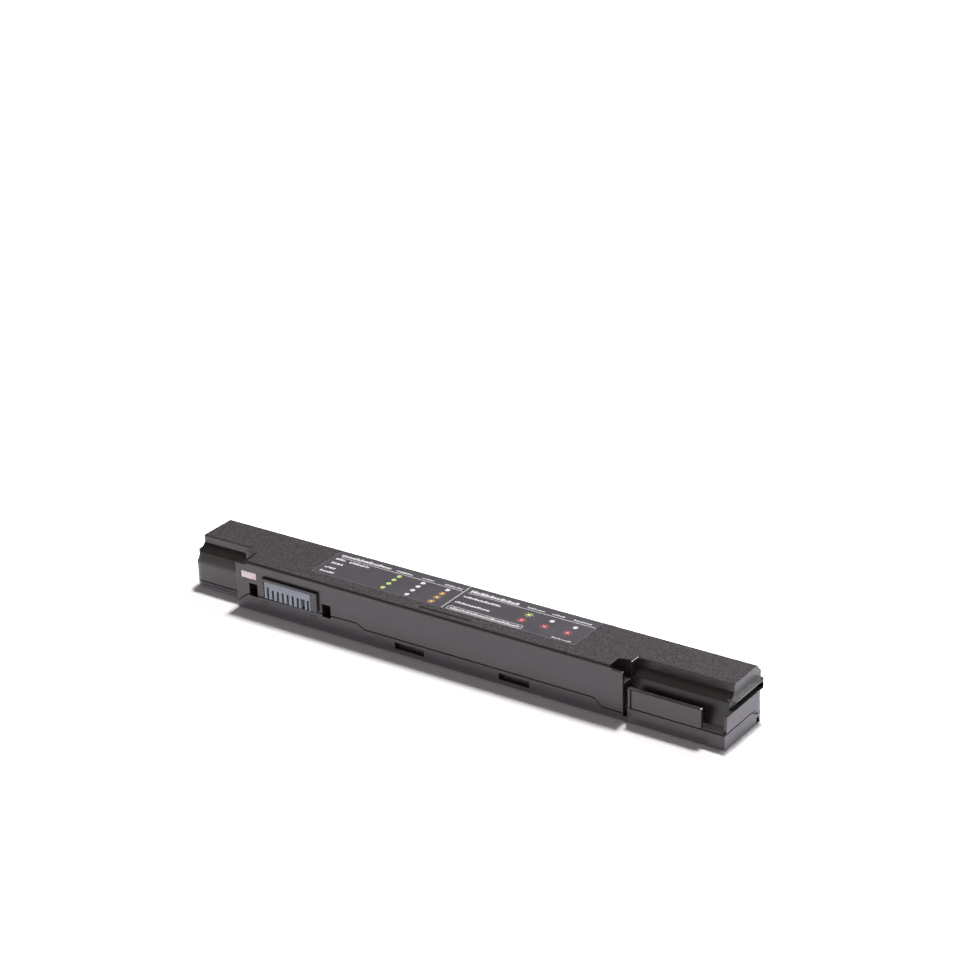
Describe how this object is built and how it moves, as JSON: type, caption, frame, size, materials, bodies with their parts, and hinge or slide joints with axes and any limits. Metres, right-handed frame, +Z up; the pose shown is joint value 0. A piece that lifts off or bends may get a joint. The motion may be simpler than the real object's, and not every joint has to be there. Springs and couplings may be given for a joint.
{
  "type": "label printer battery",
  "caption": "Long slim rechargeable battery pack: black moulded housing with a chart label on top, a contact block in its front wall and guide rails at its ends.",
  "frame": {"origin": "centre of the overall box in X and Y, on the plane that the pack rests on", "axes": "+X along the pack, from the connector end to the end with the side bar; +Y from the connector wall to the back wall; +Z up, out of the labelled top"},
  "size_m": [0.2392, 0.0304, 0.0207],
  "materials": {
    "housing": "satin black, fine texture on top",
    "housing_lower": "satin black",
    "label_film": "satin film",
    "sticker": "matt",
    "contact_block": "satin",
    "contact_metal": "plated",
    "board": "satin lacquer",
    "chip": "matt",
    "chip_ceramic": "satin",
    "bead": "gloss",
    "cell_sleeve": "gloss",
    "ring_card": "matt",
    "nickel": "satin",
    "lead_red": "satin",
    "lead_black": "satin",
    "lead_white": "satin",
    "foam": "matt"
  },
  "bodies": {
    "root": {"upper_housing": "housing", "lower_housing": "housing_lower", "indication_label": "label_film", "moisture_label": "sticker", "connector_block": "contact_block", "protection_board": "board", "gauge_chip": "chip", "protection_chip": "chip", "charge_switch": "chip", "discharge_switch": "chip", "sense_resistor": "chip_ceramic", "board_fuse": "chip_ceramic", "thermistor": "bead", "negative_lead": "lead_black", "positive_lead": "lead_red", "first_link_lead": "lead_white", "second_link_lead": "lead_white", "left_pad": "foam", "right_pad": "foam", "capacitor_1": "chip_ceramic", "capacitor_2": "chip_ceramic", "capacitor_3": "chip_ceramic", "capacitor_4": "chip_ceramic", "contact_1": "contact_metal", "contact_2": "contact_metal", "contact_3": "contact_metal", "contact_4": "contact_metal", "contact_5": "contact_metal", "contact_6": "contact_metal", "contact_7": "contact_metal", "contact_8": "contact_metal", "contact_9": "contact_metal", "cell_1": "cell_sleeve", "cell_2": "cell_sleeve", "cell_3": "cell_sleeve", "insulating_ring_1": "ring_card", "insulating_ring_2": "ring_card", "insulating_ring_3": "ring_card", "negative_tab": "nickel", "first_link_tab": "nickel", "second_link_tab": "nickel", "positive_tab": "nickel"}
  },
  "joints": []
}
